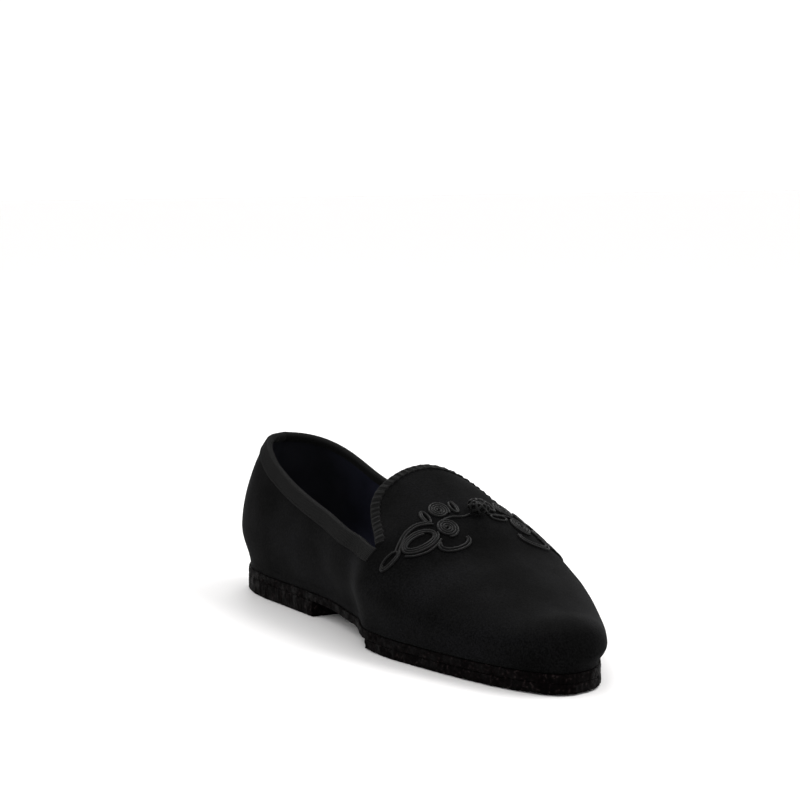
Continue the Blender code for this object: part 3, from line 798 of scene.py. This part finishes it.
def rim_frames(wall, normals, ribs, spacing, start_share, stop_share):
    """Points along the rim at even steps, with the directions ahead, outwards and down the wall from each."""
    rims = np.array([wall[k][0] for k in ribs])
    rims[0] += (rims[1] - rims[0]) * start_share
    rims[-1] += (rims[-2] - rims[-1]) * stop_share
    outs = np.array([normals[k][3] for k in ribs])
    lengths = np.concatenate([[0.0], np.cumsum(np.linalg.norm(np.diff(rims, axis=0), axis=1))])
    wanted = np.linspace(0, lengths[-1], int(lengths[-1] / spacing))
    tops = np.stack([np.interp(wanted, lengths, rims[:, k]) for k in range(3)], -1)
    out = np.stack([np.interp(wanted, lengths, outs[:, k]) for k in range(3)], -1)
    ahead = np.gradient(tops, axis=0)
    width = max(3, int(0.006 / spacing))
    window = np.hanning(width + 2)[1:-1]
    window /= window.sum()
    for k in range(3):
        padded = np.pad(ahead[:, k], width // 2, mode="edge")
        ahead[:, k] = np.convolve(padded, window, mode="same")[width // 2: width // 2 + len(ahead)]
    ahead /= np.linalg.norm(ahead, axis=1, keepdims=True)
    out -= ahead * np.sum(out * ahead, axis=1, keepdims=True)
    out /= np.linalg.norm(out, axis=1, keepdims=True)
    down = np.cross(out, ahead)
    return tops, out, down, wanted * 1000


def down_the_wall(tree, top, out, down, distance):
    """Point of the wall at a distance below the rim, and the way outwards there."""
    place, facing = tree.find_nearest(Vector(top + down * distance))[:2]
    facing = np.array(facing)
    if np.dot(facing, out) < 0:
        facing = -facing
    return np.array(place), facing


def ribbon_section(tree, top, out, down, width, inner, puff):
    """Ribbon folded over the rim; puff swells each of the outer leg's points."""
    full = BINDING_GAP + BINDING_THICKNESS
    shares = [1.0, 0.985, 0.93, 0.75, 0.5, 0.25, 0.06]
    offsets = [0.0, full * 0.75, full, full, full, full, full]
    ring = []
    for share, offset, swelling in zip(shares, offsets, puff):
        point, facing = down_the_wall(tree, top, out, down, width * share)
        ring.append(point + facing * (offset + swelling))
    middle = top - out * (UPPER_WALL / 2)
    radius = UPPER_WALL / 2 + full
    for angle in (35, 70, 110, 145):
        turn = math.radians(angle)
        rise = (radius - UPPER_WALL / 2) * 1.2 + puff[-1]
        ring.append(middle + out * radius * math.cos(turn) - down * rise * math.sin(turn))
    legs = []
    for share in (0.06, 0.5, 0.94, 1.0):
        point, facing = down_the_wall(tree, top, out, down, inner * share)
        legs.append((point, facing))
        ring.append(point - facing * (UPPER_WALL + (full if share < 1 else 0.0)))
    ring.append(legs[1][0] - legs[1][1] * UPPER_WALL * 0.6)
    ring.append(top + down * 0.0008 - out * UPPER_WALL * 0.5)
    point, facing = down_the_wall(tree, top, out, down, width * 0.5)
    ring.append(point - facing * UPPER_WALL * 0.4)
    return ring


def make_collar(wall, normals, tree, ribbon, thread):
    """Ribbed ribbon round the quarters' edge, with a row of stitches along its lower edge."""
    count = len(wall)
    ribs = [k % count for k in range(-QUARTER_RIBS, QUARTER_RIBS + 1)]
    tops, outs, downs, along = rim_frames(wall, normals, ribs, COLLAR_STEP, 0.1, 0.1)
    rings = []
    lines = []
    for top, out, down, length in zip(tops, outs, downs, along):
        rise = RIB_HEIGHT * math.sin(2 * math.pi * length / RIB_PITCH)
        puff = [0.0, rise, rise, rise, rise, rise, rise]
        rings.append(ribbon_section(tree, top, out, down, COLLAR_BINDING_WIDTH, COLLAR_INNER_LEG, puff))
        point, facing = down_the_wall(tree, top, out, down, COLLAR_BINDING_WIDTH - STITCH_INSET)
        lines.append(point + facing * (BINDING_GAP + BINDING_THICKNESS))
    around = np.linspace(0, 20, len(rings[0]))
    settle(sweep("collar_ribbon", rings, [ribbon], False, along, around), "ribbon", "collar_binding")
    stitch_row("collar_stitches", np.array(lines), thread)


def stitch_tree(name):
    """Geometry Nodes that lay stretched balls of thread along a curve. Returns the tree and its inputs."""
    group = bpy.data.node_groups.new(name, "GeometryNodeTree")
    group.interface.new_socket("Geometry", in_out="INPUT", socket_type="NodeSocketGeometry")
    kinds = {"Pitch": "Float", "Radius": "Float", "Stretch": "Vector", "Thread": "Material"}
    sockets = {}
    for word, kind in kinds.items():
        sockets[word] = group.interface.new_socket(word, in_out="INPUT", socket_type="NodeSocket" + kind)
    group.interface.new_socket("Geometry", in_out="OUTPUT", socket_type="NodeSocketGeometry")
    nodes, links = group.nodes, group.links
    start = nodes.new("NodeGroupInput")
    finish = nodes.new("NodeGroupOutput")
    spread = nodes.new("GeometryNodeCurveToPoints")
    spread.mode = "LENGTH"
    stitch = nodes.new("GeometryNodeMeshIcoSphere")
    stitch.inputs["Subdivisions"].default_value = 2
    place = nodes.new("GeometryNodeInstanceOnPoints")
    real = nodes.new("GeometryNodeRealizeInstances")
    paint = nodes.new("GeometryNodeSetMaterial")
    links.new(start.outputs["Geometry"], spread.inputs["Curve"])
    links.new(start.outputs["Pitch"], spread.inputs["Length"])
    links.new(start.outputs["Radius"], stitch.inputs["Radius"])
    links.new(start.outputs["Stretch"], place.inputs["Scale"])
    links.new(start.outputs["Thread"], paint.inputs["Material"])
    links.new(spread.outputs["Points"], place.inputs["Points"])
    links.new(spread.outputs["Rotation"], place.inputs["Rotation"])
    links.new(stitch.outputs["Mesh"], place.inputs["Instance"])
    links.new(place.outputs["Instances"], real.inputs["Geometry"])
    links.new(real.outputs["Geometry"], paint.inputs["Geometry"])
    links.new(paint.outputs["Geometry"], finish.inputs["Geometry"])
    return group, sockets


def stitch_row(name, line, thread):
    """Short raised stitches along a line, made by the stitch tree and then kept as one plain mesh."""
    curve = bpy.data.curves.new(name + "_line", "CURVE")
    curve.dimensions = "3D"
    spline = curve.splines.new("POLY")
    spline.points.add(len(line) - 1)
    for point, place in zip(spline.points, line):
        point.co = (*place, 1)
    holder = bpy.data.objects.new(name + "_line", curve)
    bpy.context.scene.collection.objects.link(holder)
    modifier = holder.modifiers.new("stitches", "NODES")
    modifier.node_group, sockets = stitch_tree(name)
    values = {"Pitch": STITCH_PITCH, "Radius": STITCH_RADIUS, "Stretch": STITCH_STRETCH, "Thread": thread}
    for word, value in values.items():
        modifier[sockets[word].identifier] = value
    baked = bpy.data.meshes.new_from_object(holder.evaluated_get(bpy.context.evaluated_depsgraph_get()))
    bpy.data.objects.remove(holder, do_unlink=True)
    piece = bpy.data.objects.new(name, baked)
    bpy.context.scene.collection.objects.link(piece)
    settle(piece, "ribbon")


def make_tongue_edge(wall, normals, tree, ribbon):
    """Narrow gathered ribbon round the tongue, puckered where it is drawn in."""
    count = len(wall)
    ribs = list(range(QUARTER_RIBS + 1, count - QUARTER_RIBS))
    tops, outs, downs, along = rim_frames(wall, normals, ribs, TONGUE_STEP, 0.9, 0.9)
    rings = []
    for top, out, down, length in zip(tops, outs, downs, along):
        phase = 2 * math.pi * length / GATHER_PITCH + 1.1 * math.sin(length / 6.1)
        puff = []
        for share in (0.0, 0.3, 0.7, 1.0, 1.0, 0.9, 0.6):
            puff.append(GATHER_HEIGHT * share * (math.sin(phase + 1.1 * share) + 0.4 * math.sin(2.7 * phase)))
        width = TONGUE_BINDING_WIDTH * (1 + 0.06 * math.sin(phase))
        rings.append(ribbon_section(tree, top, out, down, width, TONGUE_INNER_LEG, puff))
    around = np.linspace(0, 12, len(rings[0]))
    settle(sweep("tongue_gathered_ribbon", rings, [ribbon], False, along, around), "ribbon", "tongue_binding")


def vamp_surface():
    """Points of the upper near the ornament, by station and by distance from the ridge to the inner side."""
    stations = np.linspace(0.54, 0.70, 54)
    across = np.linspace(-0.062, 0.064, 127)
    grid = np.zeros((len(stations), len(across), 3))
    for row, s in enumerate(stations):
        for side, chosen in ((OUTER, across < 0), (INNER, across >= 0)):
            arcs, values = across_arc(s, side)
            a = np.interp(np.abs(across[chosen]), arcs, values)
            grid[row, chosen] = upper_point(np.full_like(a, s), a, side)
    return stations, across, grid + PLACED


def surface_point(surface, s, arc):
    """Blend of the surface's four nearest points."""
    stations, across, grid = surface
    i = np.clip((s - stations[0]) / (stations[1] - stations[0]), 0, len(stations) - 1.001)
    j = np.clip((arc - across[0]) / (across[1] - across[0]), 0, len(across) - 1.001)
    row = i.astype(int)
    place = j.astype(int)
    down = (i - row)[:, None]
    over = (j - place)[:, None]
    near = grid[row, place] * (1 - over) + grid[row, place + 1] * over
    far = grid[row + 1, place] * (1 - over) + grid[row + 1, place + 1] * over
    return near * (1 - down) + far * down


def over_vamp(surface, path, mirrored, lift):
    """Points and normals over the vamp along a path of (forward, across) millimetres from the knot."""
    path = np.asarray(path, float) / 1000
    s = KNOT_STATION + path[:, 0] / LENGTH
    arc = (-path[:, 1] if mirrored else path[:, 1]) - KNOT_OUT
    step = 0.0012
    along = surface_point(surface, s + step / LENGTH, arc) - surface_point(surface, s - step / LENGTH, arc)
    sideways = surface_point(surface, s, arc + step) - surface_point(surface, s, arc - step)
    normal = np.cross(sideways, along)
    normal /= np.linalg.norm(normal, axis=1, keepdims=True)
    return surface_point(surface, s, arc) + normal * lift, normal


def turning(centre, start, stop, turns, first_angle, steps):
    """Spiral or ring round a centre, from one pair of half sizes (forward, across) to another."""
    t = np.linspace(0, 1, steps)
    angle = math.radians(first_angle) + 2 * np.pi * turns * t
    forward = centre[0] + (start[0] + (stop[0] - start[0]) * t) * np.cos(angle)
    across = centre[1] + (start[1] + (stop[1] - start[1]) * t) * np.sin(angle)
    return list(zip(forward, across))


# Points round the cord's section, from one side over the top, a little flattened
CORD_ANGLES = [2 * math.pi * k / CORD_SIDES for k in range(CORD_SIDES)]
BRAID_SECTION = [(math.cos(angle), 0.92 * math.sin(angle)) for angle in CORD_ANGLES]


def braid_along(name, points, outs, closed, braid):
    """Round cord through points; outs point away from what the cord lies on."""
    points = np.asarray(points)
    if closed:
        ahead = np.roll(points, -1, 0) - np.roll(points, 1, 0)
    else:
        ahead = np.gradient(points, axis=0)
    rings = []
    for point, out, forward in zip(points, outs, ahead):
        sideways = np.cross(forward, out)
        sideways /= np.linalg.norm(sideways)
        ring = []
        for side_part, up_part in BRAID_SECTION:
            ring.append(point + CORD_RADIUS * (sideways * side_part + out * up_part))
        rings.append(ring)
    steps = np.linalg.norm(np.diff(points, axis=0), axis=1)
    along = np.concatenate([[0.0], np.cumsum(steps)]) * 1000
    around = np.linspace(0, 1, len(BRAID_SECTION), endpoint=False)
    return sweep(name, rings, [braid], closed, along, around)


def vamp_braid(name, path, closed, mirrored, surface, braid):
    points, outs = over_vamp(surface, path, mirrored, CORD_RADIUS * 0.86)
    return braid_along(name, points, outs, closed, braid)


def smooth_path(points, steps):
    """Even, rounded path through a few points."""
    points = np.asarray(points, float)
    place = np.arange(len(points))
    fine = np.linspace(0, len(points) - 1, steps)
    return list(zip(smooth(place, points[:, 0], fine), smooth(place, points[:, 1], fine)))


def make_frogs(surface, braid):
    """Scrolls of braid to each side of the knot, the loop that holds it, and the knot itself."""
    tips = {"inner": ((6.0, 52.4), (2.9, 6.3), (1.3, 4.6)), "outer": ((6.0, 48.6), (2.7, 4.6), (1.2, 3.1))}
    leaves = {"inner": ((7.3, 35.4), (5.8, 9.9), (2.5, 6.6)), "outer": ((7.3, 34.4), (5.4, 8.8), (2.2, 5.6))}
    back = turning((-5.0, 17.4), (0.5, 0.5), (5.2, 4.9), 3.7, 60, 190)
    front = turning((6.5, 19.8), (0.5, 0.5), (5.4, 5.1), 3.8, 90, 190)
    far_bow = turning((-3.2, 25.4), (4.6, 2.1), (3.2, 0.8), 1.5, 20, 70)
    near_bow = turning((-4.9, 9.7), (4.2, 2.0), (2.9, 0.8), 1.5, 200, 70)
    petal = turning((15.2, 21.2), (4.8, 8.0), (4.8, 8.0), -0.62, 118, 50)
    petal_lining = turning((14.7, 21.1), (3.7, 6.8), (3.7, 6.8), -0.60, 116, 50)
    over = smooth_path([(6.6, 47.0), (3.4, 42.8), (0.6, 38.0), (-0.4, 32.5), (0.9, 27.2), (2.2, 24.6)], 40)
    over_again = smooth_path([(5.2, 48.2), (2.0, 43.4), (-0.7, 38.2), (-1.7, 32.5), (-0.4, 26.6)], 40)
    under = smooth_path([(10.4, 45.6), (13.4, 41.0), (14.6, 35.4), (13.6, 30.0), (11.4, 26.0)], 40)
    tail = smooth_path([(2.4, 20.0), (1.3, 17.5), (1.1, 14.5), (1.8, 11.5), (2.3, 8.5), (1.4, 4.4)], 40)
    for label, mirrored in (("inner", False), ("outer", True)):
        tip = turning(*tips[label], 1.6, -90, 90)
        leaf = turning(*leaves[label], 2.85, -90, 190)
        shapes = [
            ("tip", tip), ("leaf", leaf), ("scroll_back", back), ("scroll_front", front),
            ("bow_far", far_bow), ("bow_near", near_bow), ("petal", petal),
        ]
        strands = [
            ("petal_inside", petal_lining), ("over_leaf", over), ("over_leaf_again", over_again),
            ("under_leaf", under), ("tail", tail),
        ]
        for word, path in shapes:
            place = label + "_" + word
            piece = vamp_braid("braid_" + place, path, False, mirrored, surface, braid)
            settle(piece, "braid", "frog_" + place)
        for word, path in strands:
            settle(vamp_braid("braid_" + label + "_" + word, path, False, mirrored, surface, braid), "braid")
    loop = turning((3.6, -9.4), (1.9, 4.0), (1.9, 4.0), 1, 0, 45)[:-1]
    settle(vamp_braid("braid_loop", loop, True, False, surface, braid), "braid", "frog_loop")
    make_knot(surface, braid)


def make_knot(surface, braid):
    """Ball knot: one cord plaited round a small core."""
    places, normals = over_vamp(surface, [(0, 0), (2, 0)], False, 0.0)
    base, out = places[0], normals[0]
    forward = places[1] - base
    forward -= out * np.dot(forward, out)
    forward /= np.linalg.norm(forward)
    across = np.cross(out, forward)
    high = KNOT_RADIUS * 0.58
    middle = base + out * (high + 0.0004)
    points = []
    outs = []
    for t in np.linspace(0, 2 * np.pi, 420, endpoint=False):
        turn = 5 * t
        tilt = math.radians(64) * math.sin(7 * t)
        reach = 0.90 + 0.06 * math.cos(14 * t)
        flat = forward * math.cos(turn) + across * math.sin(turn)
        way = flat * math.cos(tilt) * KNOT_RADIUS + out * math.sin(tilt) * high
        points.append(middle + way * reach)
        direction = flat * math.cos(tilt) / KNOT_RADIUS + out * math.sin(tilt) / high
        outs.append(direction / np.linalg.norm(direction))
    settle(braid_along("braid_knot", points, outs, True, braid), "braid", "frog_knot")
    rings = []
    for tilt in np.linspace(-85, 85, 15):
        wide = KNOT_RADIUS * 0.84 * math.cos(math.radians(tilt))
        centre = middle + out * high * 0.84 * math.sin(math.radians(tilt))
        turns = np.linspace(0, 2 * np.pi, 25)[:-1]
        rings.append([centre + wide * (forward * math.cos(k) + across * math.sin(k)) for k in turns])
    core = sweep("braid_knot_core", rings, [braid], False, np.linspace(0, 6, 15), np.linspace(0, 20, 24))
    settle(core, "braid")


def end_spaced(first, last_station, count):
    """Stations that crowd together towards a rounded end of the shoe."""
    t = np.linspace(0, 1, count)
    start = 0.0008 if first <= 0 else first
    stop = 0.9992 if last_station >= 1 else last_station
    if first <= 0 and last_station >= 1:
        t = (1 - np.cos(np.pi * t)) / 2
    elif first <= 0:
        t = 1 - np.cos(np.pi / 2 * t)
    elif last_station >= 1:
        t = np.sin(np.pi / 2 * t)
    return start + (stop - start) * t


def edge_rows(low, high, rows):
    """Heights up a sole's edge with a small bevel at the top and bottom, and how far each is drawn in."""
    bevel = min(EDGE_BEVEL, (high - low) / 4)
    middle = list(np.linspace(low + bevel, high - bevel, rows))
    heights = [low, low + bevel * 0.3] + middle + [high - bevel * 0.3, high]
    insets = [bevel, bevel * 0.3] + [0.0] * rows + [bevel * 0.3, bevel]
    return list(zip(heights, insets))


def make_sole_layer(name, node, slot_name, stations, bottom, top, depth, material):
    """Layer of the sole with a worn, uneven edge, drawn in only, so that it stays inside the plain layer."""
    rings = []
    for s in stations:
        s = np.array(s)
        low, high = float(bottom(s)), float(top(s))
        ring = []
        for side, order in ((OUTER, 1), (INNER, -1)):
            points = []
            for height, drawn_in in edge_rows(low, high, 6):
                x, y = outline(s, side, drawn_in)
                place = Vector((x, y, height)) * 420.0
                coarse = Vector((x, y, height * 2)) * 90.0
                wear = abs(solid_noise.noise(place)) * 0.7 + abs(solid_noise.noise(coarse)) * 0.6
                x, y = outline(s, side, drawn_in + depth * wear)
                points.append((x, y, height))
            ring += points[::order]
        rings.append(np.array(ring) + PLACED)
    count = len(rings[0])
    piece = sweep(name, rings, [material], False, np.zeros(len(rings)), np.zeros(count))
    settle(piece, slot_name, node)


def make_sole(edge, heel):
    """Outsole, half sole and heel lift with worn edges."""
    def half_sole_bottom(s):
        return np.maximum(outsole_bottom(s) - HALF_SOLE_THICKNESS, 0.0)

    def under_outsole(s):
        return outsole_bottom(s) - CLEARANCE * 0.2

    whole = end_spaced(0, 1, 420)
    front = end_spaced(HALF_SOLE_STATION, 1, 240)
    back = end_spaced(0, HEEL_BREAST_STATION, 200)
    make_sole_layer(
        "outsole_edge", "outsole", "sole_leather",
        whole, outsole_bottom, outsole_top, OUTSOLE_WEAR, edge,
    )
    make_sole_layer(
        "half_sole_edge", "half_sole", "sole_rubber",
        front, half_sole_bottom, under_outsole, HALF_SOLE_WEAR, edge,
    )
    make_sole_layer(
        "heel_stack", "heel_lift", "sole_rubber",
        back, lambda s: 0.0, under_outsole, HEEL_WEAR, heel,
    )


def paint_node(name, material):
    """Gives a CAD node another finish, in place of its own."""
    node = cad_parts[name]
    for slot in node.material_slots:
        slot.material = material


def make_camera():
    """The photograph's view: a long lens low in front of the inner side."""
    azimuth = math.radians(58.3)
    pitch = math.radians(6.47)
    roll = math.radians(0.215)
    right = Vector((math.cos(azimuth), math.sin(azimuth), 0))
    level = Vector((math.sin(azimuth), -math.cos(azimuth), 0))
    back = level * math.cos(pitch) + Vector((0, 0, math.sin(pitch)))
    up = back.cross(right)
    across = right * math.cos(roll) + up * math.sin(roll)
    over = up * math.cos(roll) - right * math.sin(roll)
    turn = Matrix((across, over, back)).transposed().to_4x4()
    data = bpy.data.cameras.new("camera")
    data.lens = 108.45
    data.sensor_width = 36
    camera = bpy.data.objects.new("camera", data)
    place = Vector((0.91906, -0.58103, 0.22785))
    camera.matrix_world = Matrix.Translation(place) @ turn
    bpy.context.scene.collection.objects.link(camera)
    bpy.context.scene.camera = camera


def area_light(name, place, target, size, power, colour=(1, 1, 1)):
    data = bpy.data.lights.new(name, "AREA")
    data.shape = "DISK"
    data.size = size
    data.energy = power
    data.color = colour
    light = bpy.data.objects.new(name, data)
    way = Vector(target) - Vector(place)
    light.matrix_world = Matrix.Translation(place) @ way.to_track_quat("-Z", "Y").to_matrix().to_4x4()
    bpy.context.scene.collection.objects.link(light)


def make_studio():
    """White sweep and soft lights, with the floor just below white under the shoe."""
    world = bpy.data.worlds.new("studio")
    world.use_nodes = True
    background = world.node_tree.nodes["Background"]
    background.inputs["Color"].default_value = (1, 1, 1, 1)
    background.inputs["Strength"].default_value = 1.1
    bpy.context.scene.world = world
    paper, _, shader = new_material("white_paper", (0.905, 0.895, 0.892), 0.6)
    shader.inputs["Specular IOR Level"].default_value = 0.2
    size = 6.0
    corners = [(-size, -size, 0), (size, -size, 0), (size, size, 0), (-size, size, 0)]
    floor = mesh_piece("studio_floor", corners, [(0, 1, 2, 3)], [paper], None, None, False)
    floor.location = (0, 0, -0.0002)
    area_light("key", (0.5, 0.7, 1.2), (0.02, 0, 0.03), 0.7, 8)
    area_light("fill", (1.1, -0.9, 0.7), (0.05, 0, 0.04), 0.8, 2)
    area_light("back_rim", (-0.9, 0.5, 0.9), (0, 0, 0.05), 0.6, 4)
    scene = bpy.context.scene
    scene.view_settings.view_transform = "Standard"
    scene.view_settings.look = "None"


def main():
    velvet = velvet_material()
    lining = lining_material()
    ribs = woven_ribs()
    collar = ribbed_material("collar_ribbon_black", grey(0.0036), ribs, RIB_PITCH, 0.00006)
    gathered = ribbed_material("tongue_ribbon_black", grey(0.0028), ribs, 0.45, 0.00004)
    thread = thread_material()
    braid = braid_material(ribs)
    wear = worn_edge()
    edge = sole_material("sole_edge_rough", wear, False)
    heel = sole_material("heel_edge_ground", wear, True)
    wall = whole_wall() + PLACED
    normals = grid_normals(wall)
    settle(make_upper(wall, normals, velvet, lining), "velvet", "upper")
    tree = wall_tree(wall)
    make_collar(wall, normals, tree, collar, thread)
    make_tongue_edge(wall, normals, tree, gathered)
    make_frogs(vamp_surface(), braid)
    paint_node("insole", insole_material())
    make_sole(edge, heel)
    make_camera()
    make_studio()


main()
